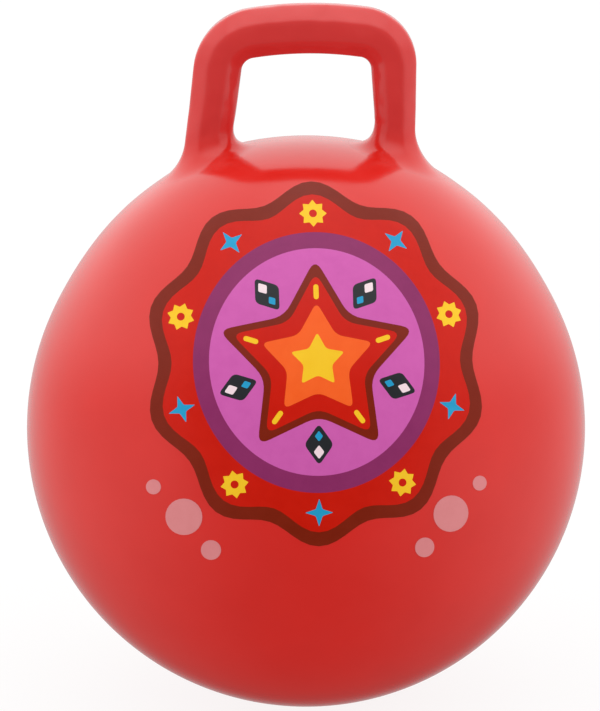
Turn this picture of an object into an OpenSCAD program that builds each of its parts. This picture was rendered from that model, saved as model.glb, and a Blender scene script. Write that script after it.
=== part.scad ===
// Hopper ball: an inflated vinyl ball with a hollow loop handle, an air valve with its plug, and a print.
// Units are millimetres, +Z is up, the print faces -Y, and the origin is the middle of the flat it stands on.

/* [Ball] */
// Diameter across the widest line of the inflated ball
ball_d = 450; // [420:5:480]
// Thickness of the ball's vinyl skin
skin_wall = 1.5; // [1:0.1:3]
// Rise of the crown under the handle above a true sphere
crown_rise = 10.5; // [6:0.5:14]
// Angle from the top at which the crown leaves the sphere
crown_angle = 58; // [52:1:61]
// Depth of the flat that the skin makes where it stands
rest_depth = 1.5; // [1:0.1:3]

/* [Handle] */
// Height of the handle's top above the crown
handle_h = 108; // [98:0.5:125]
// Spacing of the legs' centrelines at the shoulders
handle_w = 138.5; // [124:0.5:156]
// Diameter of the grip bar
grip_d = 39; // [34:0.5:44]
// Diameter of the legs where they flare
leg_d = 34.5; // [29:0.5:38]
// Bend radius of the two corners on the centreline
corner_r = 29.5; // [25:0.5:34]
// Radius of the grip's arch on the centreline
arch_r = 305; // [220:5:450]
// Outward lean of each leg
leg_splay = 4.5; // [0:0.1:7]
// Radius of each leg's flared foot where it joins the crown
foot_r = 41; // [36:0.5:44]
// How far the foot's centre lies outside the leg's
foot_shift = 1.5; // [0:0.5:5]
// Thickness of the hollow handle's wall
handle_wall = 2.5; // [1.5:0.1:4]

/* [Valve] */
// Angle of the valve above the ball's widest line, on the back
valve_angle = 28; // [5:1:28]
// Diameter of the valve seat's rim
rim_d = 25; // [23:0.5:28]
// Height of the rim above the skin
rim_h = 1; // [0.6:0.1:2]
// Radius of the rim's rounded edge
rim_round = 0.8; // [0.3:0.1:0.9]
// Diameter of the bonding flange inside the skin
flange_d = 40; // [34:1:46]
// Thickness of the bonding flange
flange_t = 2; // [1.5:0.1:3]
// Diameter of the seat's tube inside the ball
tube_d = 15; // [13:0.5:18]
// Length of the tube, measured in from the skin
tube_l = 21; // [16:0.5:30]
// Diameter of the air hole
bore_d = 8; // [6:0.5:9]
// Depth of the well that the plug's head sits in
well_h = 2.2; // [2:0.1:3]

/* [Plug] */
// Diameter of the plug's head
head_d = 18; // [16:0.5:19]
// Thickness of the head at its edge
head_h = 1.8; // [1.4:0.1:2]
// Rise of the domed middle of the head
head_dome = 0.7; // [0.3:0.1:1.5]
// Radius of the head's rounded edge
head_round = 0.5; // [0.2:0.1:0.6]
// Length of the plug's stem
stem_l = 24; // [18:0.5:28]
// Number of sealing ribs on the stem
rib_n = 4; // [2:1:5]
// Width of a sealing rib
rib_w = 2.2; // [1.5:0.1:2.5]
// Depth of the grooves between the ribs
groove_h = 0.5; // [0.3:0.1:1]
// Length of the tapered tip
tip_l = 4; // [2:0.5:5]
// Diameter of the tip's end
tip_d = 5; // [3:0.5:5.5]
// Width of the pry notch in the rim
notch_w = 6; // [4:0.5:8]

/* [Print] */
// Angle at which the print faces upwards
print_tilt = 15; // [8:1:18]
// Distance of the print's centre above the line through the ball's centre at that angle
print_rise = 49; // [40:1:52]
// Turn of the print about the upright, towards the right leg
print_turn = 2.5; // [-5:0.5:5]
// Radius of the printed medallion's wavy edge
medal_r = 125; // [118:1:131]
// Depth of the waves, from the middle line
wave_h = 6; // [3:0.5:8]
// Number of waves round the medallion
wave_n = 10; // [8:2:12]
// Width of the dark line along the wavy edge
line_w = 10; // [6:0.5:12]
// Width of the red band inside the dark line, from the middle of its waves
band_w = 22; // [20:1:25]
// Width of the purple ring
ring_w = 12; // [9:1:15]
// Gap between the big star's points and the purple ring
star_gap = 4; // [2:0.5:8]
// Radius of the yellow suns' points
sun_r = 10.5; // [9:0.5:11]
// Radius of the notches between them
sun_notch_r = 7.5; // [6:0.5:8]
// Radius of the hole in each sun
sun_hole_r = 3; // [2:0.2:4]
// Radius of the blue sparks' points
spark_r = 10.5; // [7:0.5:11]
// Radius of the sparks' waists
spark_waist_r = 3.6; // [2.5:0.1:4]

/* [Hidden] */

// Clearance between pieces that are bonded to each other
bond_gap = 0.05;
// Radial clearance of the plug's ribs in the air hole
rib_gap = 0.05;
// Clearance round the plug's head, and under it
head_gap = 0.3;
seat_gap = 0.05;
// Overrun of every cut past the face that it opens
over = 5;
// How far the cone under the crown lies inside the line that touches both spheres
join_depth = 0.02;
// Gap and thickness of the ink film on the skin
ink_gap = 0.05;
ink_t = 0.3;

ball_r = ball_d / 2;
centre_z = ball_r - rest_depth;
crown_z = crown_rise / (1 - cos(crown_angle));
crown_r = ball_r + crown_rise - crown_z;

// Sides of the round solids, and of the handle's tube, which is a mesh
round_fn = 160;
tube_sides = 40;
flare_steps = 8;
corner_steps = 8;
arch_steps = 6;
leg_steps = 2;

// The ball

// The ball, grown by a distance: a sphere, the crown's own sphere, and the cone that joins them
module ball_solid(grow) {
    edge = [sin(crown_angle), cos(crown_angle)];
    low = (ball_r + grow - join_depth) * edge;
    high = [0, crown_z] + (crown_r + grow - join_depth) * edge;
    sphere(r = ball_r + grow, $fn = round_fn);
    translate([0, 0, crown_z]) sphere(r = crown_r + grow, $fn = round_fn);
    rotate_extrude($fn = round_fn) polygon([[0, low.y], low, high, [0, high.y]]);
}

// The same with the flat that it stands on
module standing_solid(grow) {
    difference() {
        ball_solid(grow);
        translate([-ball_d, -ball_d, rest_depth - ball_r - grow - ball_d]) cube([2 * ball_d, 2 * ball_d, ball_d]);
    }
}

// Puts its children at a leg's foot, with +Z straight out of the crown
module at_foot(side) {
    translate([0, 0, crown_z]) rotate([0, side * foot_lean, 0]) children();
}

// Puts its children on the valve's axis, with +Z straight out of the ball's back
module at_valve() {
    rotate([valve_angle - 90, 0, 0]) children();
}

module ball_skin() {
    color("#d8352c") translate([0, 0, centre_z]) difference() {
        standing_solid(0);
        standing_solid(-skin_wall);
        for (side = [-1, 1]) at_foot(side) cylinder(r = foot_r, h = ball_d, $fn = round_fn);
        at_valve() cylinder(d = rim_d + 2 * bond_gap, h = ball_d, $fn = round_fn);
    }
}

// The handle: one tube that bends over the crown and flares into it at both feet

grip_z = ball_r + crown_rise + handle_h - grip_d / 2;
end_angle = 90 - leg_splay;
arch_angle = asin((handle_w / 2 - corner_r * sin(end_angle)) / (arch_r - corner_r));
corner_at = [0, grip_z - arch_r] + (arch_r - corner_r) * [sin(arch_angle), cos(arch_angle)];
shoulder = corner_at + corner_r * [sin(end_angle), cos(end_angle)];
leg_way = [sin(leg_splay), -cos(leg_splay)];

// Where the leg's centreline meets the crown, and how far down the leg that is
from_crown = shoulder - [0, crown_z];
fall = from_crown * leg_way;
leg_reach = -fall - sqrt(fall * fall - from_crown * from_crown + crown_r * crown_r);
leg_meets = shoulder + leg_reach * leg_way;
foot_lean = asin((leg_meets.x + foot_shift) / crown_r);

// The straight part of the leg ends where the widest flare can begin
leg_straight = leg_reach - (foot_r - leg_d / 2 + foot_shift);
corner_arc = corner_r * (end_angle - arch_angle) * PI / 180;

// Centre of the tube where its outward normal leans by an angle, and then a way down the leg
function tube_centre(lean, down) =
    abs(lean) <= arch_angle
        ? [arch_r * sin(lean), 0, grip_z - arch_r + arch_r * cos(lean)]
        : let (at = corner_at + corner_r * [sin(abs(lean)), cos(lean)] + down * leg_way)
            [sign(lean) * at.x, 0, at.y];

// Radius of the tube there: it narrows from the grip to the foot of the leg
function tube_radius(lean, down) =
    let (way = abs(lean) <= arch_angle ? 0 : corner_r * (abs(lean) - arch_angle) * PI / 180 + down)
    (grip_d + (leg_d - grip_d) * min(1, way / (corner_arc + leg_straight))) / 2;

// One ring of points round the tube, thinner by the wall on the inside
function tube_ring(lean, down, wall) =
    let (at = tube_centre(lean, down), r = tube_radius(lean, down) - wall)
    [for (i = [0 : tube_sides - 1]) let (a = 360 * i / tube_sides)
        at + r * (cos(a) * [sin(lean), 0, cos(lean)] + [0, sin(a), 0])];

// The flare's line at one angle: a curve that leaves the crown flat and ends along the leg
function flare_line(a, wall, skin) =
    let (
        ball = crown_r - skin,
        out = [sin(foot_lean), 0, cos(foot_lean)],
        along = [cos(foot_lean), 0, -sin(foot_lean)],
        flat_r = foot_r - bond_gap,
        from_centre = flat_r * (cos(a) * along + [0, sin(a), 0]) + sqrt(ball * ball - flat_r * flat_r) * out,
        start = [0, 0, crown_z] + from_centre,
        lean = end_angle,
        on_leg = tube_centre(lean, 0) + (leg_d / 2 - wall) * (cos(a) * [sin(lean), 0, cos(lean)] + [0, sin(a), 0]),
        down = [leg_way.x, 0, leg_way.y],
        knee = on_leg + down * ((start - on_leg) * from_centre) / (down * from_centre)
    )
    [start, knee, knee - norm(knee - start) * down];

// One ring of points in a flare: 0 is on the crown, 1 is on the leg
function flare_ring(side, share, wall, skin) =
    [for (i = [0 : tube_sides - 1])
        let (
            line = flare_line(360 * i / tube_sides, wall, skin),
            p = pow(1 - share, 2) * line[0] + 2 * share * (1 - share) * line[1] + pow(share, 2) * line[2]
        )
        [side * p.x, p.y, p.z]];

// All the rings from the left foot over the grip to the right foot
function handle_rings(wall, skin) = concat(
    [for (i = [0 : flare_steps]) flare_ring(-1, i / flare_steps, wall, skin)],
    [for (i = [leg_steps : -1 : 1]) tube_ring(-end_angle, leg_straight * i / leg_steps, wall)],
    [for (i = [corner_steps : -1 : 1])
        tube_ring(-arch_angle - (end_angle - arch_angle) * i / corner_steps, 0, wall)],
    [for (i = [-arch_steps : arch_steps]) tube_ring(arch_angle * i / arch_steps, 0, wall)],
    [for (i = [1 : corner_steps])
        tube_ring(arch_angle + (end_angle - arch_angle) * i / corner_steps, 0, wall)],
    [for (i = [1 : leg_steps]) tube_ring(end_angle, leg_straight * i / leg_steps, wall)],
    [for (i = [flare_steps : -1 : 0]) flare_ring(1, i / flare_steps, wall, skin)]
);

// The two triangles of each cell between one ring of points and the next
function band(from, to, flip) =
    [for (i = [0 : tube_sides - 1])
        let (j = (i + 1) % tube_sides, a = from + i, b = from + j, c = to + j, d = to + i)
        each flip ? [[a, c, b], [a, d, c]] : [[a, b, c], [a, c, d]]];

module handle() {
    outer = handle_rings(0, 0);
    inner = handle_rings(handle_wall, skin_wall);
    last = len(outer) - 1;
    inside = len(outer) * tube_sides;
    color("#d8352c") translate([0, 0, centre_z]) polyhedron(
        points = [for (ring = concat(outer, inner)) each ring],
        faces = concat(
            [for (k = [0 : last - 1]) each band(k * tube_sides, (k + 1) * tube_sides, false)],
            [for (k = [0 : last - 1])
                each band(inside + k * tube_sides, inside + (k + 1) * tube_sides, true)],
            band(0, inside, true),
            band(last * tube_sides, inside + last * tube_sides, false)
        ),
        convexity = 6
    );
}

// The valve: a soft seat bonded into the skin, and a hard plug that is pulled out to inflate the ball

rim_top = ball_r + rim_h;
well_z = rim_top - well_h;
head_z = well_z + seat_gap;

// A ring of the skin's own curve, between two depths under the skin's outside
module curved_flange(d, depth, t) {
    intersection() {
        difference() {
            sphere(r = ball_r - depth, $fn = round_fn);
            sphere(r = ball_r - depth - t, $fn = round_fn);
        }
        cylinder(d = d, h = ball_d, $fn = round_fn);
    }
}

// Quarter circle of points round a corner, from one angle on
function corner_points(centre, r, from, steps) =
    [for (i = [0 : steps]) centre + r * [cos(from + 90 * i / steps), sin(from + 90 * i / steps)]];

module valve_seat() {
    round_steps = 6;
    color("#c92f28") translate([0, 0, centre_z]) at_valve() difference() {
        union() {
            curved_flange(flange_d, skin_wall + bond_gap, flange_t);
            rotate_extrude($fn = round_fn) polygon(concat(
                [[0, ball_r - tube_l], [tube_d / 2, ball_r - tube_l]],
                [[tube_d / 2, ball_r - skin_wall - flange_t], [rim_d / 2, ball_r - skin_wall - flange_t]],
                corner_points([rim_d / 2 - rim_round, rim_top - rim_round], rim_round, 0, round_steps),
                [[0, rim_top]]
            ));
        }
        translate([0, 0, well_z]) cylinder(d = head_d + 2 * head_gap, h = well_h + over, $fn = round_fn);
        cylinder(d = bore_d, h = ball_d, $fn = round_fn);
        translate([-notch_w / 2, 0, ball_r]) cube([notch_w, rim_d, rim_h + over]);
    }
}

// The stem's outline: ribs with grooves between them, down to the tapered tip
function stem_outline(rib_r, core, pitch, top) =
    [for (i = [0 : rib_n - 1]) let (z = top - i * pitch) each [
        [core, z], [core, z - pitch + rib_w], [rib_r, z - pitch + rib_w], [rib_r, z - pitch]
    ]];

module valve_plug() {
    rib_r = bore_d / 2 - rib_gap;
    pitch = (stem_l - tip_l) / rib_n;
    round_steps = 6;
    dome_steps = 8;
    head_top = head_z + head_h;
    flat_r = head_d / 2 - head_round;
    stem = stem_outline(rib_r, rib_r - groove_h, pitch, head_z);
    color("#f1efe9") translate([0, 0, centre_z]) at_valve() rotate_extrude($fn = round_fn) polygon(concat(
        [[0, head_z - stem_l], [tip_d / 2, head_z - stem_l]],
        [for (k = [len(stem) - 1 : -1 : 0]) stem[k]],
        [[head_d / 2, head_z]],
        corner_points([flat_r, head_top - head_round], head_round, 0, round_steps),
        [for (i = [1 : dome_steps]) let (share = 1 - i / dome_steps)
            [flat_r * share, head_top + head_dome * (1 - share * share)]]
    ));
}

// The print: one node for each ink, laid side by side on the skin

// Shares of the drawing's radii in its width and its height
fit_shares = [0.99, 1.05];
// Points of the big star, each with a gem beside it and a charm outside it
point_n = 5;
first_point = 90;
first_notch = first_point + 180 / point_n;
ring_r = medal_r - line_w - band_w;
disc_r = ring_r - ring_w;
star_r = disc_r - star_gap;
// The suns and sparks sit in the crests of the band
charm_at_r = ring_r + (band_w + wave_h) / 2;
// Radius of the big star's notches, and width of its dark line at the points, as shares of the points' radius
star_notch_share = 0.534;
star_line_share = 0.136;
// Radii of the orange and the yellow star's points and notches, as shares of the big star's radius
flame_shares = [0.568, 0.307];
core_shares = [0.273, 0.142];
// Place, length and width of the yellow dashes, as shares of the big star's radius
dash_shares = [0.67, 0.148, 0.05];
// Place, half length and half width of the black gems, as shares of the pink disc's radius
gem_shares = [0.765, 0.19, 0.135];
// Shares of an edge that are rounded at a star's corners, and at a spark's
star_round_share = 0.2;
spark_round_share = 0.12;
// Place, half length and half width of each gem's white and blue facets, as shares of its half length
shine_shares = [0.36, 0.34, 0.26];
glint_shares = [-0.4, 0.26, 0.2];
// Points of a sun
ray_n = 8;
// Place and radius of the bubbles on each side, as shares of the medallion's radius
bubble_shares = [[0.8, -0.92, 0.11], [0.64, -1.12, 0.06], [0.98, -0.74, 0.045]];

// Puts a flat drawing on the front of the ball as a film of ink
module ink_film(ink) {
    color(ink) translate([0, 0, centre_z]) rotate(print_turn) intersection() {
        difference() {
            ball_solid(ink_gap + ink_t);
            ball_solid(ink_gap);
        }
        rotate([90 - print_tilt, 0, 0]) translate([0, print_rise, 0]) linear_extrude(height = ball_d) children();
    }
}

function fit(p) = [p.x * fit_shares.x, p.y * fit_shares.y];

// Places round the medallion: copies number n, with the first at an angle
module around(n, r, first) {
    for (i = [0 : n - 1]) let (a = first + 360 * i / n)
        translate(fit(r * [cos(a), sin(a)])) rotate(a) children();
}

// An oval disc, or a wavy one whose first wave is at the top
module oval(r, wave = 0, steps = 120) {
    polygon([for (i = [0 : steps - 1]) let (a = 360 * i / steps)
        fit((r + wave * cos(wave_n * (a - 90))) * [cos(a), sin(a)])]);
}

// A star with rounded points and notches: each corner is a short curve between its two edges
module star(n, tip_r, notch_r, round_share = star_round_share, steps = 4) {
    corners = [for (i = [0 : 2 * n - 1]) let (a = 90 + 180 * i / n)
        (i % 2 == 0 ? tip_r : notch_r) * [cos(a), sin(a)]];
    polygon([for (i = [0 : 2 * n - 1])
        let (
            here = corners[i],
            before = corners[(i + 2 * n - 1) % (2 * n)],
            after = corners[(i + 1) % (2 * n)],
            from = here + round_share * (before - here),
            to = here + round_share * (after - here)
        )
        for (k = [0 : steps]) let (t = k / steps)
            pow(1 - t, 2) * from + 2 * t * (1 - t) * here + pow(t, 2) * to]);
}

module dot(r, steps = 28) {
    polygon([for (i = [0 : steps - 1]) r * [cos(360 * i / steps), sin(360 * i / steps)]]);
}

// A dash with round ends, along X
module dash(l, w, steps = 6) {
    polygon(concat(
        [for (i = [0 : steps]) [l / 2 - w / 2, 0] + w / 2 * [sin(180 * i / steps), cos(180 * i / steps)]],
        [for (i = [0 : steps]) [w / 2 - l / 2, 0] - w / 2 * [sin(180 * i / steps), cos(180 * i / steps)]]
    ));
}

module big_star(share = 1) { star(point_n, star_r * share, star_r * star_notch_share * share); }
module big_star_body() { big_star(1 - star_line_share); }
module flame_star() { star(point_n, star_r * flame_shares.x, star_r * flame_shares.y); }
module core_star() { star(point_n, star_r * core_shares.x, star_r * core_shares.y); }
module gem(place, half_l, half_w) { translate([place, 0]) star(2, half_w, half_l); }
module gems() {
    around(point_n, 0, first_notch) gem(disc_r * gem_shares.x, disc_r * gem_shares.y, disc_r * gem_shares.z);
}
module facets(shares) {
    gem_l = disc_r * gem_shares.y;
    around(point_n, 0, first_notch)
        gem(disc_r * gem_shares.x + gem_l * shares.x, gem_l * shares.y, gem_l * shares.z);
}
module suns() {
    around(point_n, charm_at_r, first_point) difference() {
        star(ray_n, sun_r, sun_notch_r, spark_round_share);
        dot(sun_hole_r, 16);
    }
}
module sparks() { around(point_n, charm_at_r, first_notch) star(4, spark_r, spark_waist_r, spark_round_share); }
module dashes() {
    for (i = [0 : point_n - 1]) rotate(first_point + 360 * i / point_n)
        translate([star_r * dash_shares.x, 0]) dash(star_r * dash_shares.y, star_r * dash_shares.z);
}

module ink_maroon() {
    ink_film("#7b2415") {
        difference() { oval(medal_r, wave_h); oval(medal_r - line_w, wave_h); }
        difference() { big_star(); big_star_body(); }
    }
}
module ink_red() {
    ink_film("#c8210b") {
        difference() { oval(medal_r - line_w, wave_h); oval(ring_r); suns(); sparks(); }
        difference() { big_star_body(); flame_star(); dashes(); }
    }
}
module ink_purple() {
    ink_film("#8a3664") difference() { oval(ring_r); oval(disc_r); }
}
module ink_pink() {
    ink_film("#cf5fb2") difference() { oval(disc_r); big_star(); gems(); }
}
module ink_orange() {
    ink_film("#f9672a") difference() { flame_star(); core_star(); }
}
module ink_yellow() {
    ink_film("#f6c232") { core_star(); suns(); dashes(); }
}
module ink_black() {
    ink_film("#2b2f33") difference() { gems(); facets(shine_shares); facets(glint_shares); }
}
module ink_blue() {
    ink_film("#2d9ac6") { sparks(); facets(glint_shares); }
}
module ink_white() {
    ink_film("#f3dbe1") facets(shine_shares);
}
module ink_bubbles() {
    ink_film("#dd8a8c") for (side = [-1, 1], b = bubble_shares * medal_r)
        translate([side * b.x, b.y]) dot(b.z);
}

ball_skin();
handle();
valve_seat();
valve_plug();
ink_maroon();
ink_red();
ink_purple();
ink_pink();
ink_orange();
ink_yellow();
ink_black();
ink_blue();
ink_white();
ink_bubbles();
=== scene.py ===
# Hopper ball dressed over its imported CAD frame. Metres, +Z up, the print faces -Y.
import math

import bpy
from mathutils import Matrix, Vector


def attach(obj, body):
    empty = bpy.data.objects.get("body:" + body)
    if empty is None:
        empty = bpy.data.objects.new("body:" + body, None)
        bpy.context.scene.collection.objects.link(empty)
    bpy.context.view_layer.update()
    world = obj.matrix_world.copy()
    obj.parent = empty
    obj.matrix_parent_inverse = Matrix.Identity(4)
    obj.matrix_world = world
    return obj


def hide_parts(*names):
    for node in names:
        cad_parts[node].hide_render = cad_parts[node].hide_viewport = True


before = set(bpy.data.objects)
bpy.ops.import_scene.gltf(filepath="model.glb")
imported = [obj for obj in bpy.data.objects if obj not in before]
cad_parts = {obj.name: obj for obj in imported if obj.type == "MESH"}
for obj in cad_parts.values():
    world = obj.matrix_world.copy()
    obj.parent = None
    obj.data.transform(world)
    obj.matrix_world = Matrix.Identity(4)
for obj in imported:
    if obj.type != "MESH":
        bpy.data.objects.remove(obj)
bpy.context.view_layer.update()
print("stage: CAD frame loaded")

tiny = 1e-6         # metres, below which two places are one
slopeStep = 1e-4    # to each side of the point where a slope is taken
sideways = Vector((0, 1, 0))


def linearColour(hexText):
    parts = [int(hexText[i:i + 2], 16) / 255 for i in (1, 3, 5)]
    linear = [c / 12.92 if c <= 0.04045 else ((c + 0.055) / 1.055) ** 2.4 for c in parts]
    return tuple(linear) + (1.0,)


def easeIn(t):  # from 0 to 1 with no corner at either end
    t = min(1.0, max(0.0, t))
    return t * t * (3 - 2 * t)


def startClean():
    if bpy.context.object and bpy.context.object.mode != "OBJECT":
        bpy.ops.object.mode_set(mode="OBJECT")
    bpy.ops.object.select_all(action="DESELECT")


def pickOnly(piece):
    startClean()
    piece.select_set(True)
    bpy.context.view_layer.objects.active = piece


def applyModifier(piece, kind, **settings):
    pickOnly(piece)
    modifier = piece.modifiers.new(kind.title(), kind)
    for name, value in settings.items():
        setattr(modifier, name, value)
    bpy.ops.object.modifier_apply(modifier=modifier.name)


def applyPlace(piece):
    pickOnly(piece)
    bpy.ops.object.transform_apply(location=True, rotation=True, scale=True)


def editAll(piece):  # opens the piece in edit mode with everything selected
    pickOnly(piece)
    bpy.ops.object.mode_set(mode="EDIT")
    bpy.ops.mesh.select_all(action="SELECT")


def dropVertices(piece, unwanted):  # deletes the vertices for which unwanted(place) is true
    editAll(piece)
    bpy.ops.mesh.select_all(action="DESELECT")
    bpy.ops.object.mode_set(mode="OBJECT")
    for vertex in piece.data.vertices:
        vertex.select = unwanted(vertex.co)
    bpy.ops.object.mode_set(mode="EDIT")
    bpy.ops.mesh.delete(type="VERT")
    bpy.ops.object.mode_set(mode="OBJECT")


def weldAndTurnOut(piece):
    editAll(piece)
    bpy.ops.mesh.remove_doubles(threshold=tiny)
    bpy.ops.mesh.delete_loose(use_verts=True, use_edges=True, use_faces=False)
    bpy.ops.mesh.select_all(action="SELECT")
    bpy.ops.mesh.normals_make_consistent(inside=False)
    bpy.ops.object.mode_set(mode="OBJECT")


def wireLoop(name, points):  # a circle primitive whose vertices are moved onto the profile's points
    startClean()
    bpy.ops.mesh.primitive_circle_add(vertices=len(points), radius=0.01)
    piece = bpy.context.object
    piece.name = name
    for vertex, point in zip(piece.data.vertices, points):
        vertex.co = point
    return piece


def spinAround(piece, steps):  # revolves the whole wire about the upright through the origin
    editAll(piece)
    bpy.ops.mesh.spin(steps=steps, angle=2 * math.pi, center=(0, 0, 0), axis=(0, 0, 1))
    bpy.ops.object.mode_set(mode="OBJECT")
    weldAndTurnOut(piece)


def smoothByAngle(piece, degrees):
    pickOnly(piece)
    bpy.ops.object.shade_smooth_by_angle(angle=math.radians(degrees))


def cutWith(piece, cutter):
    applyPlace(cutter)
    applyModifier(piece, "BOOLEAN", operation="DIFFERENCE", solver="EXACT", object=cutter)
    bpy.data.objects.remove(cutter, do_unlink=True)


def setNormals(piece, wanted):  # wanted(point, faceNormal) gives a normal, or None to keep the shaded one
    mesh = piece.data
    normals = [Vector(corner.vector) for corner in mesh.corner_normals]
    for face in mesh.polygons:
        for loop in face.loop_indices:
            better = wanted(mesh.vertices[mesh.loops[loop].vertex_index].co, face.normal)
            if better is not None:
                normals[loop] = better
    mesh.normals_split_custom_set(normals)


camera = {                      # at the photograph's angle, with a long lens
    "distance": 2.5,
    "elevation": 15.0,
    "sensor": 36.0,             # mm
    "ballPixels": 279.0,        # radius of the ball in the frame
    "ballAt": (306.0, 427.0),   # pixel of the ball's centre, a little right of and below the middle
    "frame": (600, 711),
}
ball = {
    "radius": 0.225,
    "restDepth": 0.0015,
    "crownRise": 0.0105,
    "crownAngle": 58.0,
    "smoothFrom": 40.0,         # between these two angles from the top the crown runs out into the sphere
    "smoothTo": 66.0,
    "flatter": 0.28,            # the loop's feet pull the crown flatter than a sphere: its lift is this
    "flatFrom": 0.06,           # times the distance from the upright squared, and it runs out between
    "flatTo": 0.13,             # these two distances
    "wall": 0.0015,
    "rings": 150,
    "turns": 200,
    "poleAngle": 1e-4,          # radians from the bottom within which a point is put on the upright
    "smoothAngle": 30.0,
    "shadeFrom": 0.0005,        # below this height the standing flat keeps its own shading
    "shadeWithin": 0.98,        # cosine within which a face takes the drawn surface's normal
}
centreZ = ball["radius"] - ball["restDepth"]
middle = Vector((0, 0, centreZ))

focal = camera["ballPixels"] * math.sqrt(camera["distance"] ** 2 - ball["radius"] ** 2) / ball["radius"]
perPixel = camera["distance"] / focal
lean = math.radians(camera["elevation"])
look = Vector((0, math.cos(lean), -math.sin(lean)))
upward = Vector((0, math.sin(lean), math.cos(lean)))
aimRight = camera["frame"][0] / 2 - camera["ballAt"][0]
aimUp = camera["ballAt"][1] - camera["frame"][1] / 2
cameraAt = middle - camera["distance"] * look
aimAt = middle + Vector((aimRight * perPixel, 0, 0)) + upward * (aimUp * perPixel)
cameraData = bpy.data.cameras.new("photoCamera")
cameraData.lens = camera["sensor"] * focal / max(camera["frame"])
cameraData.sensor_width = camera["sensor"]
cameraObject = bpy.data.objects.new("photoCamera", cameraData)
bpy.context.scene.collection.objects.link(cameraObject)
cameraObject.location = cameraAt
cameraObject.rotation_euler = (aimAt - cameraAt).to_track_quat("-Z", "Y").to_euler()
bpy.context.scene.camera = cameraObject
print("stage: camera set")


def addNode(tree, kind, settings=None, links=None):  # a number as the key is an input's place in the node
    node = tree.nodes.new(kind)
    for name, value in (settings or {}).items():
        if isinstance(name, int) or name in node.inputs:
            node.inputs[name].default_value = value
        else:
            setattr(node, name, value)
    for name, source in (links or {}).items():
        tree.links.new(source, node.inputs[name])
    return node


def newMaterial(name):
    material = bpy.data.materials.new(name)
    material.use_nodes = True
    material.node_tree.nodes.clear()
    return material, material.node_tree


def wear(piece, material):
    piece.data.materials.clear()
    piece.data.materials.append(material)


def perMetre(millimetres):  # noise scale whose features are about this long
    return 1000.0 / millimetres


# Rotomoulded soft PVC: cast against a polished mould, so it is glossy with a faint orange peel,
# and the pigment clouds a little where the wall is thicker.
vinyl = {
    "colour": "#dd251d",
    "cloudColour": "#d8231b",
    "cloudSize": 60.0,          # mm
    "peelSize": 7.0,            # mm
    "peelDepth": 0.00003,
    "handlingSize": 35.0,       # mm, of the patches that hands have dulled
    "roughness": (0.13, 0.18),
    "ior": 1.53,
}
crownZ = ball["crownRise"] / (1 - math.cos(math.radians(ball["crownAngle"])))
crownR = ball["radius"] + ball["crownRise"] - crownZ
crownMiddle = Vector((0, 0, crownZ))    # of the crown's own sphere, from the ball's middle


def makeVinyl(name, look):
    material, tree = newMaterial(name)
    place = addNode(tree, "ShaderNodeTexCoord").outputs["Object"]
    cloud = addNode(tree, "ShaderNodeTexNoise",
                    {"Scale": perMetre(look["cloudSize"]), "Detail": 3.0, "Roughness": 0.55},
                    {"Vector": place})
    clouded = addNode(tree, "ShaderNodeMapRange", {"From Min": 0.3, "From Max": 0.75},
                      {"Value": cloud.outputs["Fac"]})
    pigment = addNode(tree, "ShaderNodeMix",
                      {"data_type": "RGBA",
                       6: linearColour(look["cloudColour"]), 7: linearColour(look["colour"])},
                      {0: clouded.outputs["Result"]})
    colour = pigment.outputs[2]
    handling = addNode(tree, "ShaderNodeTexNoise",
                       {"Scale": perMetre(look["handlingSize"]), "Detail": 4.0, "Roughness": 0.6},
                       {"Vector": place})
    gloss = addNode(tree, "ShaderNodeMapRange",
                    {"From Min": 0.3, "From Max": 0.7,
                     "To Min": look["roughness"][0], "To Max": look["roughness"][1]},
                    {"Value": handling.outputs["Fac"]})
    peel = addNode(tree, "ShaderNodeTexNoise",
                   {"Scale": perMetre(look["peelSize"]), "Detail": 1.0, "Roughness": 0.4},
                   {"Vector": place})
    bump = addNode(tree, "ShaderNodeBump", {"Strength": 1.0, "Distance": look["peelDepth"]},
                   {"Height": peel.outputs["Fac"]})
    # the handle's painted sheen colour runs out into the ball's own vinyl colour down the foot
    if "fadeHeight" in look:  # runs out into the ball's own vinyl down the foot: they are one moulding
        crown = addNode(tree, "ShaderNodeVectorMath",
                        {"operation": "DISTANCE", 1: middle + crownMiddle}, {0: place})
        above = addNode(tree, "ShaderNodeMapRange",
                        {"interpolation_type": "SMOOTHSTEP",
                         "From Min": crownR, "From Max": crownR + look["fadeHeight"]},
                        {"Value": crown.outputs["Value"]})
        skin = addNode(tree, "ShaderNodeMix",
                       {"data_type": "RGBA",
                        6: linearColour(vinyl["cloudColour"]), 7: linearColour(vinyl["colour"])},
                       {0: clouded.outputs["Result"]})
        colour = addNode(tree, "ShaderNodeMix", {"data_type": "RGBA"},
                         {0: above.outputs["Result"], 6: skin.outputs[2], 7: colour}).outputs[2]
        tree.links.new(above.outputs["Result"], bump.inputs["Strength"])
    shader = addNode(tree, "ShaderNodeBsdfPrincipled", {"IOR": look["ior"]},
                     {"Base Color": colour, "Roughness": gloss.outputs["Result"],
                      "Normal": bump.outputs["Normal"]})
    addNode(tree, "ShaderNodeOutputMaterial", {}, {"Surface": shader.outputs["BSDF"]})
    return material


vinylMaterial = makeVinyl("rotomouldedVinyl", vinyl)
print("stage: vinyl ready")


# the ball is a half circle given the crown's rise, spun about the upright, with a wall

def crownBulge(angle):  # how far the crown's own sphere stands out of the ball's, at an angle from the top
    return (crownZ * math.cos(angle) + math.sqrt(crownR ** 2 - (crownZ * math.sin(angle)) ** 2)
            - ball["radius"])


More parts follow.
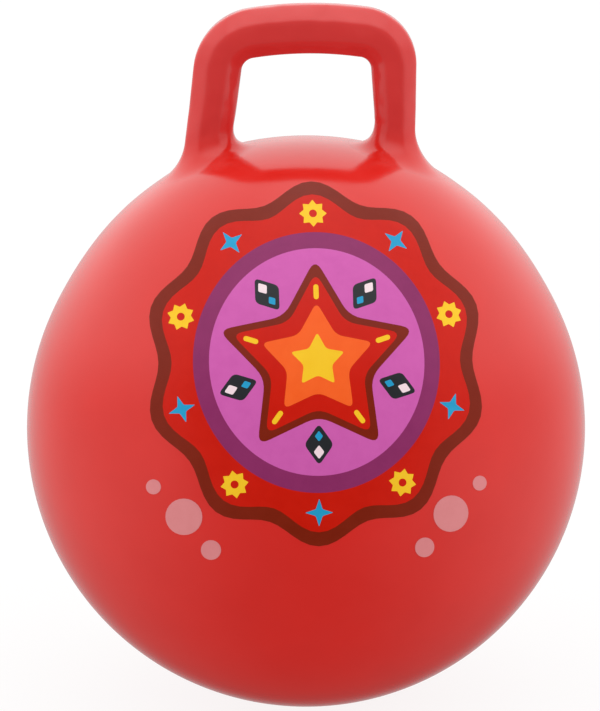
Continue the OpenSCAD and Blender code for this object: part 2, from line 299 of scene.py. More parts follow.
def bulge(angle):  # the same, running out into the sphere with its height, slope and bend kept
    start, end = math.radians(ball["smoothFrom"]), math.radians(ball["smoothTo"])
    if angle <= start:
        return crownBulge(angle)
    if angle >= end:
        return 0.0
    value, before, after = (crownBulge(start + step) for step in (0, -slopeStep, slopeStep))
    slope = (after - before) / (2 * slopeStep) * (end - start)
    bend = (after - 2 * value + before) / slopeStep ** 2 * (end - start) ** 2
    s = (angle - start) / (end - start)
    return (value * (1 - 10 * s ** 3 + 15 * s ** 4 - 6 * s ** 5)
            + slope * (s - 6 * s ** 3 + 8 * s ** 4 - 3 * s ** 5)
            + bend * (0.5 * s ** 2 - 1.5 * s ** 3 + 1.5 * s ** 4 - 0.5 * s ** 5))


def crownLift(x, y):
    across = math.hypot(x, y)
    share = easeIn((across - ball["flatFrom"]) / (ball["flatTo"] - ball["flatFrom"]))
    return ball["flatter"] * across ** 2 * (1 - share)


def liftedNormal(normal, point):
    x, y = point.x, point.y
    slopeX = (crownLift(x + slopeStep, y) - crownLift(x - slopeStep, y)) / (2 * slopeStep)
    slopeY = (crownLift(x, y + slopeStep) - crownLift(x, y - slopeStep)) / (2 * slopeStep)
    return Vector((normal.x - slopeX * normal.z, normal.y - slopeY * normal.z, normal.z)).normalized()


def drawnNormal(point):  # of the skin before its crown is pulled flatter
    across = math.hypot(point.x, point.y)
    angle = math.atan2(across, point.z - centreZ)
    radius = ball["radius"] + bulge(angle)
    slope = 0.0
    if angle > slopeStep:
        slope = (bulge(angle + slopeStep) - bulge(angle - slopeStep)) / (2 * slopeStep)
    out = radius * math.sin(angle) - slope * math.cos(angle)
    up = radius * math.cos(angle) + slope * math.sin(angle)
    if across < 1e-9:
        return Vector((0, 0, 1 if up > 0 else -1))
    return Vector((out * point.x / across, out * point.y / across, up)).normalized()


def skinNormal(point):
    if point.z > centreZ:
        return liftedNormal(drawnNormal(point - Vector((0, 0, crownLift(point.x, point.y)))), point)
    return drawnNormal(point)


def makeBall():
    startClean()
    bpy.ops.mesh.primitive_circle_add(vertices=ball["rings"] * 2, radius=ball["radius"],
                                      rotation=(math.pi / 2, 0, 0))
    piece = bpy.context.object
    piece.name = "ballSkin"
    applyPlace(piece)
    dropVertices(piece, lambda place: place.x < -tiny)
    floorZ = ball["restDepth"] - ball["radius"]
    for vertex in piece.data.vertices:
        angle = math.atan2(max(vertex.co.x, 0.0), vertex.co.z)
        radius = ball["radius"] + bulge(angle)
        height = radius * math.cos(angle)
        across = radius * math.sin(angle)
        if height < floorZ:  # the small flat that it stands on
            across *= floorZ / height
            height = floorZ
        vertex.co = (across if angle < math.pi - ball["poleAngle"] else 0.0, 0, height)
    spinAround(piece, ball["turns"])
    for vertex in piece.data.vertices:
        vertex.co.z += centreZ
    applyModifier(piece, "SOLIDIFY", thickness=ball["wall"], offset=-1.0, use_even_offset=True)
    return piece


def skinShading(point, faceNormal):
    if point.z < ball["shadeFrom"]:
        return None
    normal = skinNormal(point)
    return normal if normal.dot(faceNormal) > ball["shadeWithin"] else None


ballPiece = makeBall()
print("stage: ball spun")


# the handle is one hollow tube over the crown, flaring into it at both feet
handle = {
    "height": 0.10799,          # a hair under the CAD's, because the tip raises one end of the bar
    "width": 0.1385,
    "gripDiameter": 0.039,
    "legDiameter": 0.0345,
    "cornerRadius": 0.0295,
    "archRadius": 0.305,
    "legSplay": 4.5,            # degrees
    "footRadius": 0.041,
    "footShift": 0.0015,
    "wall": 0.0025,
    "gap": 0.00005,             # bond line between the handle's foot and the ball
    "faces": 8,                 # the section is a circle pressed towards this many faces
    "faceShare": 0.8,           # this much of the way
    "faceEdge": 24.0,           # the higher, the tighter the rounding between the faces
    "softLean": 0.06,           # the soft loop leans to the right leg's side by this share of its height
    "softTip": -0.0043,         # and this share of the width tips its right shoulder
    "softTurn": -0.9,           # degrees that it is turned on the crown, towards the left leg's side
    "softFrom": 0.004,          # height above the ball's sphere where the lean begins
    "softOver": 0.03,           # and over which it reaches its full share
    "settleOver": 0.045,        # height over which the feet's fit to the flattened crown runs out
    "fuller": 0.0013,           # how much thicker than drawn the left leg's radius is, and the right thinner
    "sides": 96,
    "flareRings": 18,
    "legRings": 8,
    "cornerRings": 14,
    "archRings": 16,
    "smoothAngle": 40.0,
    "shadeNear": 1e-5,          # from the crown, within which the foot's edge takes the crown's normal
    "shadeWithin": 0.9,         # where that is within this cosine of the face's own
    "holeSides": 192,           # of the openings in the skin under the feet
    "holeDepth": 0.1,
}

gripZ = ball["radius"] + ball["crownRise"] + handle["height"] - handle["gripDiameter"] / 2
splay = math.radians(handle["legSplay"])
endAngle = math.pi / 2 - splay
archInner = handle["archRadius"] - handle["cornerRadius"]
archAngle = math.asin((handle["width"] / 2 - handle["cornerRadius"] * math.sin(endAngle)) / archInner)
cornerAt = Vector((archInner * math.sin(archAngle),
                   gripZ - handle["archRadius"] + archInner * math.cos(archAngle)))
shoulder = cornerAt + handle["cornerRadius"] * Vector((math.sin(endAngle), math.cos(endAngle)))
legWay = Vector((math.sin(splay), -math.cos(splay)))
fromCrown = shoulder - Vector((0, crownZ))
fall = fromCrown.dot(legWay)
legReach = -fall - math.sqrt(fall ** 2 - fromCrown.dot(fromCrown) + crownR ** 2)
footLean = math.asin(((shoulder + legReach * legWay).x + handle["footShift"]) / crownR)
legStraight = legReach - (handle["footRadius"] - handle["legDiameter"] / 2 + handle["footShift"])
cornerArc = handle["cornerRadius"] * (endAngle - archAngle)
footTurn = Matrix.Rotation(math.radians(handle["softTurn"]), 3, "Y")
ringAngles = [2 * math.pi * i / handle["sides"] for i in range(handle["sides"])]


def tubeCentre(angle, down):
    if abs(angle) <= archAngle:
        return Vector((handle["archRadius"] * math.sin(angle), 0,
                       gripZ - handle["archRadius"] + handle["archRadius"] * math.cos(angle)))
    at = cornerAt + handle["cornerRadius"] * Vector((math.sin(abs(angle)), math.cos(angle))) + down * legWay
    return Vector((math.copysign(at.x, angle), 0, at.y))


def section(a):  # the moulded section's share of its radius, at an angle from the outer line
    leans = [max(0.0, math.cos(a - 2 * math.pi * k / handle["faces"])) for k in range(handle["faces"])]
    flat = sum(c ** handle["faceEdge"] for c in leans) ** (-1 / handle["faceEdge"])
    return 1 + handle["faceShare"] * (flat - 1)


def tubeRing(angle, down):
    way = 0.0
    if abs(angle) > archAngle:
        way = handle["cornerRadius"] * (abs(angle) - archAngle) + down
    share = min(1.0, way / (cornerArc + legStraight))
    radius = (handle["gripDiameter"] + (handle["legDiameter"] - handle["gripDiameter"]) * share) / 2
    radius -= math.copysign(handle["fuller"] * share, angle)
    centre = tubeCentre(angle, down)
    out = Vector((math.sin(angle), 0, math.cos(angle)))
    return [centre + radius * section(a) * (math.cos(a) * out + math.sin(a) * sideways) for a in ringAngles]


def flareRing(side, share):
    ring = []
    out = Vector((math.sin(footLean), 0, math.cos(footLean)))
    along = Vector((math.cos(footLean), 0, -math.sin(footLean)))
    legOut = Vector((math.sin(endAngle), 0, math.cos(endAngle)))
    down = Vector((legWay.x, 0, legWay.y))
    flat = handle["footRadius"] - handle["gap"]
    deep = math.sqrt(crownR ** 2 - flat ** 2)
    for a in ringAngles:
        spoke = flat * (math.cos(a) * along + math.sin(a) * sideways) + deep * out
        start = crownMiddle + spoke
        legR = (handle["legDiameter"] / 2 - side * handle["fuller"]) * section(a)
        onLeg = tubeCentre(endAngle, 0) + legR * (math.cos(a) * legOut + math.sin(a) * sideways)
        knee = onLeg + down * ((start - onLeg).dot(spoke) / down.dot(spoke))
        top = knee - (knee - start).length * down
        point = (1 - share) ** 2 * start + 2 * share * (1 - share) * knee + share ** 2 * top
        ring.append(Vector((side * point.x, point.y, point.z)))
    return ring


def handleRings():
    flares, legs, corners, arch = (handle[k + "Rings"] for k in ("flare", "leg", "corner", "arch"))
    cornerTurn = endAngle - archAngle
    rings = [flareRing(-1, i / flares) for i in range(flares + 1)]
    rings += [tubeRing(-endAngle, legStraight * i / legs) for i in range(legs - 1, 0, -1)]
    rings += [tubeRing(-archAngle - cornerTurn * i / corners, 0) for i in range(corners, 0, -1)]
    rings += [tubeRing(archAngle * i / arch, 0) for i in range(-arch, arch + 1)]
    rings += [tubeRing(archAngle + cornerTurn * i / corners, 0) for i in range(1, corners + 1)]
    rings += [tubeRing(endAngle, legStraight * i / legs) for i in range(1, legs)]
    rings += [flareRing(1, i / flares) for i in range(flares, -1, -1)]
    return rings


def softHandle(point):  # the soft loop's own set: its feet stay on the crown, and it leans over them
    point = footTurn @ (point - crownMiddle) + crownMiddle
    rise = max(0.0, point.z - ball["radius"] - handle["softFrom"])
    weight = easeIn(rise / handle["softOver"])
    return Vector((point.x + handle["softLean"] * rise * weight, point.y,
                   point.z + handle["softTip"] * point.x * weight))


def onCrown(point):  # the feet follow the flattened crown, and the grip keeps its height
    share = easeIn(((point - crownMiddle).length - crownR) / handle["settleOver"])
    return point + Vector((0, 0, crownLift(point.x, point.y) * (1 - share)))


def makeHandle():
    rings = handleRings()
    startClean()
    bpy.ops.mesh.primitive_grid_add(x_subdivisions=handle["sides"], y_subdivisions=len(rings) - 1, size=2.0)
    piece = bpy.context.object
    piece.name = "handleLoop"
    for vertex in piece.data.vertices:  # the grid is rolled into the tube, one row of it for each ring
        i = round((vertex.co.x + 1) / 2 * handle["sides"]) % handle["sides"]
        k = round((vertex.co.y + 1) / 2 * (len(rings) - 1))
        vertex.co = onCrown(softHandle(rings[k][i])) + middle
    weldAndTurnOut(piece)
    applyModifier(piece, "SOLIDIFY", thickness=handle["wall"], offset=-1.0, use_even_offset=True)
    smoothByAngle(piece, handle["smoothAngle"])

    def footShading(point, faceNormal):
        spoke = point - middle - crownMiddle - Vector((0, 0, crownLift(point.x, point.y)))
        if abs(spoke.length - crownR) > handle["shadeNear"]:
            return None
        normal = liftedNormal(spoke.normalized(), point)
        return normal if normal.dot(faceNormal) > handle["shadeWithin"] else None

    setNormals(piece, footShading)
    return piece


handlePiece = makeHandle()
for side in (-1, 1):  # the handle is hollow into the ball, so the skin is open under each foot
    footAngle = side * footLean + math.radians(handle["softTurn"])
    footOut = Vector((math.sin(footAngle), 0, math.cos(footAngle)))
    startClean()
    bpy.ops.mesh.primitive_cylinder_add(vertices=handle["holeSides"], radius=handle["footRadius"],
                                        depth=handle["holeDepth"], rotation=(0, footAngle, 0),
                                        location=middle + crownMiddle + crownR * footOut)
    cutWith(ballPiece, bpy.context.object)
print("stage: handle drawn")


# the valve is a soft seat in the skin, and the plug is pulled out of it to inflate the ball
valve = {
    "angle": 28.0,              # degrees above the widest line, at the back
    "rimDiameter": 0.025,
    "rimHeight": 0.001,
    "rimRound": 0.0008,
    "flangeDiameter": 0.040,
    "flangeThickness": 0.002,
    "tubeDiameter": 0.015,
    "tubeLength": 0.021,
    "tubeRound": 0.0006,
    "boreDiameter": 0.008,
    "boreBevels": (0.0004, 0.0003),     # at its inner end and at the well
    "wellDepth": 0.0022,
    "wellRound": 0.0003,
    "wellBevel": 0.0002,
    "headGap": 0.0003,
    "gap": 0.00005,
    "notchWidth": 0.006,
    "notchHeight": 0.01,
    "holeSides": 128,
    "holeDepth": 0.05,
    "turns": 96,
    "smoothAngle": 35.0,
}
plug = {
    "headDiameter": 0.018,
    "headHeight": 0.0018,
    "headDome": 0.0007,
    "headRound": 0.0005,
    "headBevel": 0.0002,
    "stemLength": 0.024,
    "ribs": 4,
    "ribWidth": 0.0022,
    "ribGap": 0.00005,
    "ribBevel": 0.00012,
    "groove": 0.0005,
    "tipLength": 0.004,
    "tipDiameter": 0.005,
    "tipBevel": (0.0005, 0.0006),       # across and along the stem
    "seatGap": 0.00005,
}
rimTop = ball["radius"] + valve["rimHeight"]
wellZ = rimTop - valve["wellDepth"]


def toValve(piece):  # from the upright to the valve's axis through the ball's middle
    turn = Matrix.Rotation(math.radians(valve["angle"] - 90), 4, "X")
    piece.data.transform(Matrix.Translation(middle) @ turn)


def arcPoints(x, z, radius, start, end, steps):
    angles = [math.radians(start + (end - start) * i / steps) for i in range(steps + 1)]
    return [(x + radius * math.cos(a), 0, z + radius * math.sin(a)) for a in angles]


def makeValveSeat():
    rim, bore = valve["rimDiameter"] / 2, valve["boreDiameter"] / 2
    tube, flange = valve["tubeDiameter"] / 2, valve["flangeDiameter"] / 2
    well = plug["headDiameter"] / 2 + valve["headGap"]
    tubeEnd = ball["radius"] - valve["tubeLength"]
    inside = ball["radius"] - ball["wall"] - valve["gap"]
    rimSoft, tubeSoft, wellSoft = valve["rimRound"], valve["tubeRound"], valve["wellRound"]
    innerBevel, outerBevel = valve["boreBevels"]

    def under(across, depth):  # height of the skin's own curve at a distance from the valve's axis
        return math.sqrt((inside - depth) ** 2 - across ** 2)

    points = [(bore, 0, tubeEnd + innerBevel), (bore + innerBevel, 0, tubeEnd)]
    points += arcPoints(tube - tubeSoft, tubeEnd + tubeSoft, tubeSoft, -90, 0, 3)
    for across in (tube + (flange - tube) * k / 6 for k in range(7)):
        points.append((across, 0, under(across, valve["flangeThickness"])))
    for across in (flange - (flange - rim) * k / 4 for k in range(5)):
        points.append((across, 0, under(across, 0)))
    points += arcPoints(rim - rimSoft, rimTop - rimSoft, rimSoft, 0, 90, 6)
    points += arcPoints(well + wellSoft, rimTop - wellSoft, wellSoft, 90, 180, 3)
    points += [(well, 0, wellZ + valve["wellBevel"]), (well - valve["wellBevel"], 0, wellZ),
               (bore + outerBevel, 0, wellZ), (bore, 0, wellZ - outerBevel)]
    piece = wireLoop("valveSeat", points)
    spinAround(piece, valve["turns"])
    startClean()
    bpy.ops.mesh.primitive_cube_add(size=1.0, location=(0, rim, ball["radius"] + valve["notchHeight"] / 2))
    cutter = bpy.context.object
    cutter.scale = (valve["notchWidth"], 2 * rim, valve["notchHeight"])
    cutWith(piece, cutter)
    toValve(piece)
    smoothByAngle(piece, valve["smoothAngle"])
    return piece


def makeValvePlug():
    ribR = valve["boreDiameter"] / 2 - plug["ribGap"]
    core = ribR - plug["groove"]
    headZ = wellZ + plug["seatGap"]
    headR, tipR = plug["headDiameter"] / 2, plug["tipDiameter"] / 2
    tipZ = headZ - plug["stemLength"]
    pitch = (plug["stemLength"] - plug["tipLength"]) / plug["ribs"]
    headTop = headZ + plug["headHeight"]
    flat = headR - plug["headRound"]
    easy = plug["ribBevel"]
    points = [(0, 0, tipZ), (tipR - plug["tipBevel"][0], 0, tipZ), (tipR, 0, tipZ + plug["tipBevel"][1])]
    for k in range(plug["ribs"] - 1, -1, -1):
        low = headZ - (k + 1) * pitch
        high = low + plug["ribWidth"]
        points += [(ribR - easy, 0, low), (ribR, 0, low + easy), (ribR, 0, high - easy),
                   (ribR - easy, 0, high), (core, 0, high + easy), (core, 0, low + pitch - easy)]
    points += [(core + easy, 0, headZ), (headR - plug["headBevel"], 0, headZ),
               (headR, 0, headZ + plug["headBevel"])]
    points += arcPoints(flat, headTop - plug["headRound"], plug["headRound"], 0, 90, 5)
    for share in (1 - k / 10 for k in range(1, 11)):
        points.append((flat * share, 0, headTop + plug["headDome"] * (1 - share ** 2)))
    piece = wireLoop("valvePlug", points)
    spinAround(piece, valve["turns"])
    toValve(piece)
    smoothByAngle(piece, valve["smoothAngle"])
    return piece


seatPiece = makeValveSeat()
plugPiece = makeValvePlug()
startClean()
bpy.ops.mesh.primitive_cylinder_add(vertices=valve["holeSides"], depth=valve["holeDepth"],
                                    radius=valve["rimDiameter"] / 2 + valve["gap"],
                                    location=(0, 0, ball["radius"]))
valveCutter = bpy.context.object
applyPlace(valveCutter)
toValve(valveCutter)
cutWith(ballPiece, valveCutter)
for vertex in ballPiece.data.vertices:
    if vertex.co.z > centreZ:
        vertex.co.z += crownLift(vertex.co.x, vertex.co.y)
smoothByAngle(ballPiece, ball["smoothAngle"])
setNormals(ballPiece, skinShading)
print("stage: valve turned")


# the print: each ink is a thin film on the skin, cut to its own outline
design = {
    "tilt": 15.0,                   # degrees that the print faces upwards
    "rise": 0.049,                  # of its middle above the line through the ball's middle at that angle
    "turn": 2.5,                    # degrees about the upright
    "stretch": (0.99, 1.05),
    "medal": 0.125,
    "wave": 0.006,
    "waves": 10,
    "line": 0.010,
    "band": 0.022,
    "ring": 0.012,
    "starGap": 0.004,
    "points": 5,
    "starNotch": 0.534,             # shares of the big star's radius, as are the next four
    "starLine": 0.136,
    "flame": (0.568, 0.307),
    "core": (0.273, 0.142),
    "dash": (0.67, 0.148, 0.05),
    "gem": (0.765, 0.19, 0.135),    # place, half length and half width, as shares of the disc's radius
    "shine": (0.36, 0.34, 0.26),    # the same, as shares of the gem's half length
    "glint": (-0.4, 0.26, 0.2),
    "sun": 0.0105,
    "sunNotch": 0.0075,
    "sunHole": 0.003,
    "sunRays": 8,
    "spark": 0.0105,
    "sparkWaist": 0.0036,
    "charmRound": 0.12,             # rounding of a sun's or a spark's corners, as a share of their sides
    "bubbles": ((0.8, -0.92, 0.11), (0.64, -1.12, 0.06), (0.98, -0.74, 0.045)),
    "lift": 0.0002,                 # of the film's face above the skin
    "film": 0.00012,
    "cell": 0.005,
    "cellShift": 0.013,             # of a cell, which keeps the cuts off the drawing's own corners
    "weld": 1e-7,
    "settles": 12,                  # rounds in which a point settles on the skin
    "shadeWithin": 0.9,
}


def fitted(x, y):
    return x * design["stretch"][0], y * design["stretch"][1]


def ovalLine(radius, wave=0.0, steps=120):
    loop = []
    for i in range(steps):
        a = 2 * math.pi * i / steps
        r = radius + wave * math.cos(design["waves"] * (a - math.pi / 2))
        loop.append(fitted(r * math.cos(a), r * math.sin(a)))
    return loop


def starLine(count, tip, notch, roundShare=0.2, steps=5):
    corners = []
    for i in range(2 * count):
        a = math.pi / 2 + math.pi * i / count
        r = tip if i % 2 == 0 else notch
        corners.append(Vector((r * math.cos(a), r * math.sin(a))))
    loop = []
    for i, here in enumerate(corners):
        start = here.lerp(corners[i - 1], roundShare)
        end = here.lerp(corners[(i + 1) % len(corners)], roundShare)
        for k in range(steps + 1):
            t = k / steps
            loop.append(tuple((1 - t) ** 2 * start + 2 * t * (1 - t) * here + t ** 2 * end))
    return loop


def dotLine(radius, steps=28):
    angles = [2 * math.pi * i / steps for i in range(steps)]
    return [(radius * math.cos(a), radius * math.sin(a)) for a in angles]


def dashLine(length, width, steps=6):
    half = length / 2 - width / 2
    angles = [math.pi * i / steps for i in range(steps + 1)]
    right = [(half + width / 2 * math.sin(a), width / 2 * math.cos(a)) for a in angles]
    return right + [(-x, -y) for x, y in right]


def around(count, radius, first, line):  # copies of a line at equal steps round the medallion
    loops = []
    for i in range(count):
        a = math.radians(first) + 2 * math.pi * i / count
        cx, cy = fitted(radius * math.cos(a), radius * math.sin(a))
        c, s = math.cos(a), math.sin(a)
        loops.append([(cx + x * c - y * s, cy + x * s + y * c) for x, y in line])
    return loops


def moved(line, dx, dy):
    return [(x + dx, y + dy) for x, y in line]


points = design["points"]
firstNotch = 90 + 180 / points
ringR = design["medal"] - design["line"] - design["band"]
discR = ringR - design["ring"]
starR = discR - design["starGap"]
charmAt = ringR + (design["band"] + design["wave"]) / 2
gemL = discR * design["gem"][1]


def bigStar(tip, notch):
    return [starLine(points, starR * tip, starR * notch)]


def gemLine(place, halfLength, halfWidth):
    return moved(starLine(2, halfWidth, halfLength), place, 0)


def facets(spot):
    return around(points, 0, firstNotch,
                  gemLine(discR * design["gem"][0] + gemL * spot[0], gemL * spot[1], gemL * spot[2]))


innerShare = 1 - design["starLine"]
starOuter = bigStar(1, design["starNotch"])
starInner = bigStar(innerShare, design["starNotch"] * innerShare)
flameStar = bigStar(*design["flame"])
coreStar = bigStar(*design["core"])
dashAt, dashLength, dashWidth = (starR * share for share in design["dash"])
dashes = around(points, 0, 90, moved(dashLine(dashLength, dashWidth), dashAt, 0))
gems = around(points, 0, firstNotch, gemLine(discR * design["gem"][0], gemL, discR * design["gem"][2]))
shine, glint = facets(design["shine"]), facets(design["glint"])
suns = around(points, charmAt, 90,
              starLine(design["sunRays"], design["sun"], design["sunNotch"], design["charmRound"]))
suns += around(points, charmAt, 90, dotLine(design["sunHole"], 16))
sparks = around(points, charmAt, firstNotch,
                starLine(4, design["spark"], design["sparkWaist"], design["charmRound"]))
outer = [ovalLine(design["medal"], design["wave"])]
field = [ovalLine(design["medal"] - design["line"], design["wave"])]
ring = [ovalLine(ringR)]
disc = [ovalLine(discR)]
bubbles = []
for side in (-1, 1):
    for x, y, r in design["bubbles"]:
        bubbles.append(moved(dotLine(design["medal"] * r), side * design["medal"] * x, design["medal"] * y))

# an ink's loops: the fill takes a loop inside another as a hole in it
inkLoops = {
    "maroon": outer + field + starOuter + starInner,
    "red": field + ring + suns + sparks + starInner + flameStar + dashes,
    "purple": ring + disc,
    "pink": disc + starOuter + gems,
    "orange": flameStar + coreStar,
    "yellow": coreStar + suns + dashes,
    "black": gems + shine + glint,
    "blue": sparks + glint,
    "white": shine,
    "bubbles": bubbles,
}
tilt = math.radians(design["tilt"])
printOut = Vector((0, -math.cos(tilt), math.sin(tilt)))
printUp = Vector((0, math.sin(tilt), math.cos(tilt)))


def onSkin(x, y, lift):  # where a point of the flat drawing lands on the skin, from the ball's middle
    flat = Vector((x, 0, 0)) + (y + design["rise"]) * printUp
    depth = math.sqrt(ball["radius"] ** 2 - flat.length_squared)
    for _ in range(design["settles"]):
        angle = (flat + depth * printOut).angle(Vector((0, 0, 1)))
        depth = math.sqrt((ball["radius"] + bulge(angle) + lift) ** 2 - flat.length_squared)
    point = flat + depth * printOut
    return point + Vector((0, 0, crownLift(point.x, point.y)))


def filmShading(point, faceNormal):
    normal = skinNormal(point)
    return normal if normal.dot(faceNormal) > design["shadeWithin"] else faceNormal


def makeFilm(name, loops):
    startClean()
    curve = bpy.data.curves.new(name, "CURVE")
    curve.dimensions = "2D"
    curve.fill_mode = "BOTH"
    for loop in loops:
        spline = curve.splines.new("POLY")
        spline.points.add(len(loop) - 1)
        for point, (x, y) in zip(spline.points, loop):
            point.co = (x, y, 0, 1)
        spline.use_cyclic_u = True
    piece = bpy.data.objects.new(name, curve)
    bpy.context.scene.collection.objects.link(piece)
    pickOnly(piece)
    bpy.ops.object.convert(target="MESH")
    piece = bpy.context.object
    low = [min(v.co[k] for v in piece.data.vertices) for k in (0, 1)]
    high = [max(v.co[k] for v in piece.data.vertices) for k in (0, 1)]
    cell = design["cell"]
    editAll(piece)
    bpy.ops.mesh.remove_doubles(threshold=design["weld"])
    for k, way in ((0, (1, 0, 0)), (1, (0, 1, 0))):  # cut into small cells, so that it can bend onto the skin
        for n in range(math.ceil(low[k] / cell), math.floor(high[k] / cell) + 1):
            place = [0, 0, 0]
            place[k] = (n + design["cellShift"]) * cell
            bpy.ops.mesh.select_all(action="SELECT")
            bpy.ops.mesh.bisect(plane_co=place, plane_no=way, use_fill=False, threshold=design["weld"])
    bpy.ops.object.mode_set(mode="OBJECT")
    turn = Matrix.Rotation(math.radians(design["turn"]), 3, "Z")
    for vertex in piece.data.vertices:
        vertex.co = turn @ onSkin(vertex.co.x, vertex.co.y, design["lift"]) + middle
    applyModifier(piece, "SOLIDIFY", thickness=design["film"], offset=-1.0)
    pickOnly(piece)
    bpy.ops.object.shade_smooth()
    setNormals(piece, filmShading)
    return piece


# Screen-printed vinyl ink: flat and opaque, a shade less glossy than the skin under it, and a hair
# darker where the screen laid less of it.
inkLook = {
    "laySize": 14.0,            # mm
    "roughness": (0.15, 0.2),
    "ior": 1.5,
    "specular": 0.18,
    "colours": {                # full and thin
        "maroon": ("#7f2009", "#7b1e07"),
        "red": ("#cd1702", "#c91501"),
        "purple": ("#8d2d64", "#892b61"),
        "pink": ("#d15fb0", "#cd5bac"),
        "orange": ("#fa6423", "#f86020"),
        "yellow": ("#fac826", "#f8c422"),
        "black": ("#2a2c30", "#27292c"),
        "blue": ("#259ecc", "#2299c7"),
        "white": ("#f7dfe5", "#f4dbe1"),
        "bubbles": ("#df898b", "#dc8587"),
    },
}


def makeInk(name, full, thin):
    material, tree = newMaterial(name)
    place = addNode(tree, "ShaderNodeTexCoord").outputs["Object"]
    lay = addNode(tree, "ShaderNodeTexNoise",
                  {"Scale": perMetre(inkLook["laySize"]), "Detail": 5.0, "Roughness": 0.65},
                  {"Vector": place})
    ramp = addNode(tree, "ShaderNodeValToRGB", {}, {"Fac": lay.outputs["Fac"]})
    for stop, position, colour in zip(ramp.color_ramp.elements, (0.35, 0.6), (thin, full)):
        stop.position = position
        stop.color = linearColour(colour)
    gloss = addNode(tree, "ShaderNodeMapRange",
                    {"From Min": 0.3, "From Max": 0.7,
                     "To Min": inkLook["roughness"][0], "To Max": inkLook["roughness"][1]},
                    {"Value": lay.outputs["Fac"]})
    shader = addNode(tree, "ShaderNodeBsdfPrincipled",
                     {"IOR": inkLook["ior"], "Specular IOR Level": inkLook["specular"]},
                     {"Base Color": ramp.outputs["Color"], "Roughness": gloss.outputs["Result"]})
    addNode(tree, "ShaderNodeOutputMaterial", {}, {"Surface": shader.outputs["BSDF"]})
    return material


for name, loops in inkLoops.items():
    film = makeFilm("print_" + name, loops)
    wear(film, makeInk("screenInk_" + name, *inkLook["colours"][name]))
    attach(film, "ball")
    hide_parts("ink_" + name)
print("stage: print laid")


# The handle's vinyl is painted paler and cooler than the ball's, a painted sheen standing in for the light
# its top mirrors; its wall is thicker and isn't stretched by the air, so its surface is less even.
handlePaintedSheenLook = dict(vinyl, colour="#db3836", cloudColour="#d63432",
                  peelSize=23.0, peelDepth=0.0027, fadeHeight=0.03)
# The seat is soft PVC, injection moulded: satin and a shade darker.
seatLook = dict(vinyl, colour="#b8261d", cloudColour="#a81f18", cloudSize=20.0,
                peelSize=2.0, peelDepth=0.00001, roughness=(0.32, 0.42))
# The plug is polythene, injection moulded: waxy, off-white and faintly clouded.
plugLook = dict(vinyl, colour="#e9e6de", cloudColour="#dedad0", cloudSize=12.0,
                peelSize=1.5, peelDepth=0.000008, roughness=(0.28, 0.38))
wear(ballPiece, vinylMaterial)
wear(handlePiece, makeVinyl("thickWallVinyl", handlePaintedSheenLook))
wear(seatPiece, makeVinyl("softValveVinyl", seatLook))
wear(plugPiece, makeVinyl("plugPolythene", plugLook))
for piece, body, node, slot in (
        (ballPiece, "ball", "ball_skin", "vinyl_red"),
        (handlePiece, "ball", "handle", "vinyl_red"),
        (seatPiece, "ball", "valve_seat", "seat_red"),
        (plugPiece, "plug", "valve_plug", "plug_white")):
    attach(piece, body)
    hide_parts(node)
print("stage: pieces bound")


# the studio is a white tent over a white paper floor, open towards the camera and dim below the ball
studio = {
    "floor": "#f6f6f5",
    "floorSize": 60.0,
    "floorGlow": 0.88,      # share of the floor's white that comes through it from lamps below
    "fill": {               # soft light, dimmest along the view
        "round": 0.61, "up": 0.33, "sides": 0.8, "high": 0.44,
    },
    "gloss": {              # what the vinyl mirrors
        "open": 0.25, "over": 1.7,      # the dark opening round the camera, and the lamp over it
        "overFrom": 0.2, "overTo": 0.82,
        "walls": 0.66, "wallsFrom": -0.05, "wallsTo": 0.55, "sideShare": 1.25,
        "back": 0.52, "backFrom": 0.05, "backTo": 0.5,
        "ground": 0.12, "groundFrom": -0.55, "groundTo": 0.05, "groundSides": 0.62,
    },
}
startClean()
bpy.ops.mesh.primitive_plane_add(size=studio["floorSize"], location=(0, 0, 0))
floor = bpy.context.object
floor.name = "studioFloor"
# White background paper, lit through: matt, with a faint grain in its gloss.
floorMaterial, floorTree = newMaterial("paperFloor")
floorPlace = addNode(floorTree, "ShaderNodeTexCoord").outputs["Object"]
floorGrain = addNode(floorTree, "ShaderNodeTexNoise", {"Scale": 30.0, "Detail": 2.0}, {"Vector": floorPlace})
floorRough = addNode(floorTree, "ShaderNodeMapRange", {"To Min": 0.75, "To Max": 0.9},
                     {"Value": floorGrain.outputs["Fac"]})
floorShader = addNode(floorTree, "ShaderNodeBsdfPrincipled", {"Base Color": linearColour(studio["floor"])},
                      {"Roughness": floorRough.outputs["Result"]})
floorGlow = addNode(floorTree, "ShaderNodeEmission", {"Color": (1, 1, 1, 1), "Strength": 1.0})
floorMix = addNode(floorTree, "ShaderNodeMixShader", {0: studio["floorGlow"]},
                   {1: floorShader.outputs["BSDF"], 2: floorGlow.outputs["Emission"]})
addNode(floorTree, "ShaderNodeOutputMaterial", {}, {"Surface": floorMix.outputs["Shader"]})
wear(floor, floorMaterial)
floor.visible_glossy = False    # the tent's own light stands in for what the floor would send up
floor.visible_diffuse = False
floor.visible_shadow = False

world = bpy.context.scene.world or bpy.data.worlds.new("tent")
bpy.context.scene.world = world
world.use_nodes = True
tree = world.node_tree
tree.nodes.clear()
gloss, fill = studio["gloss"], studio["fill"]
tilted = addNode(tree, "ShaderNodeVectorRotate", {"rotation_type": "X_AXIS", "Angle": lean},
                 {"Vector": addNode(tree, "ShaderNodeTexCoord").outputs["Generated"]})
way = addNode(tree, "ShaderNodeSeparateXYZ", {}, {"Vector": tilted.outputs["Vector"]})
x, y, z = (way.outputs[k] for k in "XYZ")
aside = addNode(tree, "ShaderNodeMath", {"operation": "ABSOLUTE"}, {0: x})
squared = addNode(tree, "ShaderNodeMath", {"operation": "MULTIPLY"}, {0: x, 1: x}).outputs["Value"]
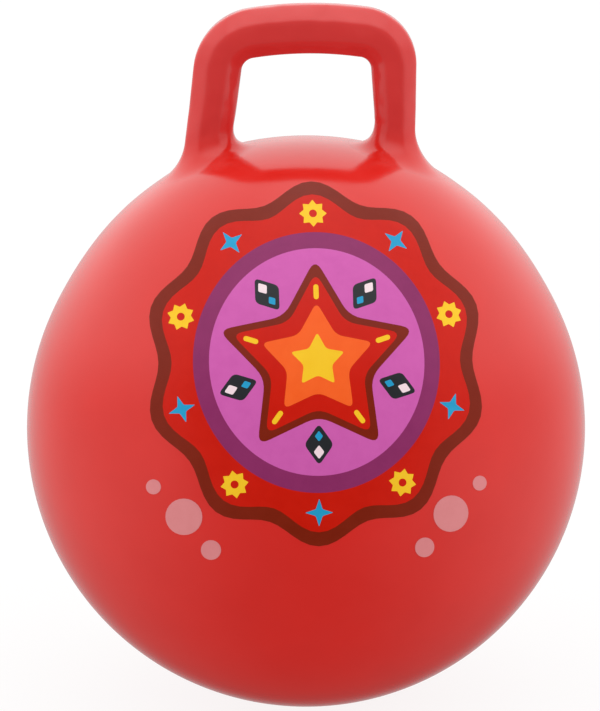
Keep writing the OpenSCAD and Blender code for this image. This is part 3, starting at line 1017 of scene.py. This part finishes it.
# what is mirrored: the opening and the lamp in front, the walls at the sides, and the ground below them
turned = addNode(tree, "ShaderNodeMath", {"operation": "MULTIPLY_ADD", 1: gloss["sideShare"]},
                 {0: aside.outputs["Value"], 2: y})
wall = addNode(tree, "ShaderNodeMapRange",
               {"interpolation_type": "SMOOTHSTEP",
                "From Min": gloss["wallsFrom"], "From Max": gloss["wallsTo"]},
               {"Value": turned.outputs["Value"]})
high = addNode(tree, "ShaderNodeMapRange",
               {"interpolation_type": "SMOOTHSTEP",
                "From Min": gloss["backFrom"], "From Max": gloss["backTo"],
                "To Min": gloss["walls"], "To Max": gloss["walls"] + gloss["back"]},
               {"Value": z})
over = addNode(tree, "ShaderNodeMapRange",
               {"interpolation_type": "SMOOTHSTEP",
                "From Min": gloss["overFrom"], "From Max": gloss["overTo"],
                "To Min": gloss["open"], "To Max": gloss["over"]},
               {"Value": z})
above = addNode(tree, "ShaderNodeMapRange", {},
                {"Value": wall.outputs["Result"],
                 "To Min": over.outputs["Result"], "To Max": high.outputs["Result"]})
ground = addNode(tree, "ShaderNodeMath",
                 {"operation": "MULTIPLY_ADD", 1: gloss["groundSides"], 2: gloss["ground"]},
                 {0: squared})
overGround = addNode(tree, "ShaderNodeMapRange",
                     {"interpolation_type": "SMOOTHSTEP",
                      "From Min": gloss["groundFrom"], "From Max": gloss["groundTo"]},
                     {"Value": z})
mirrored = addNode(tree, "ShaderNodeMapRange", {},
                   {"Value": overGround.outputs["Result"],
                    "To Min": ground.outputs["Value"], "To Max": above.outputs["Result"]})
# what fills the shade: more from the sides and from above
sides = addNode(tree, "ShaderNodeMath",
                {"operation": "MULTIPLY_ADD", 1: fill["sides"], 2: fill["round"]}, {0: squared})
rise = addNode(tree, "ShaderNodeMath",
               {"operation": "MULTIPLY_ADD", 1: fill["high"], 2: fill["up"]}, {0: z})
filled = addNode(tree, "ShaderNodeMath", {"operation": "MULTIPLY_ADD"},
                 {0: rise.outputs["Value"], 1: z, 2: sides.outputs["Value"]})
ray = addNode(tree, "ShaderNodeLightPath")
lit = addNode(tree, "ShaderNodeMapRange", {},
              {"Value": ray.outputs["Is Glossy Ray"],
               "To Min": filled.outputs["Value"], "To Max": mirrored.outputs["Result"]})
strength = addNode(tree, "ShaderNodeMapRange", {"To Max": 1.0},
                   {"Value": ray.outputs["Is Camera Ray"], "To Min": lit.outputs["Result"]})
tent = addNode(tree, "ShaderNodeBackground", {"Color": (1, 1, 1, 1)},
               {"Strength": strength.outputs["Result"]})
addNode(tree, "ShaderNodeOutputWorld", {}, {"Surface": tent.outputs["Background"]})

bpy.context.scene.view_settings.view_transform = "Standard"
print("stage: studio lit")
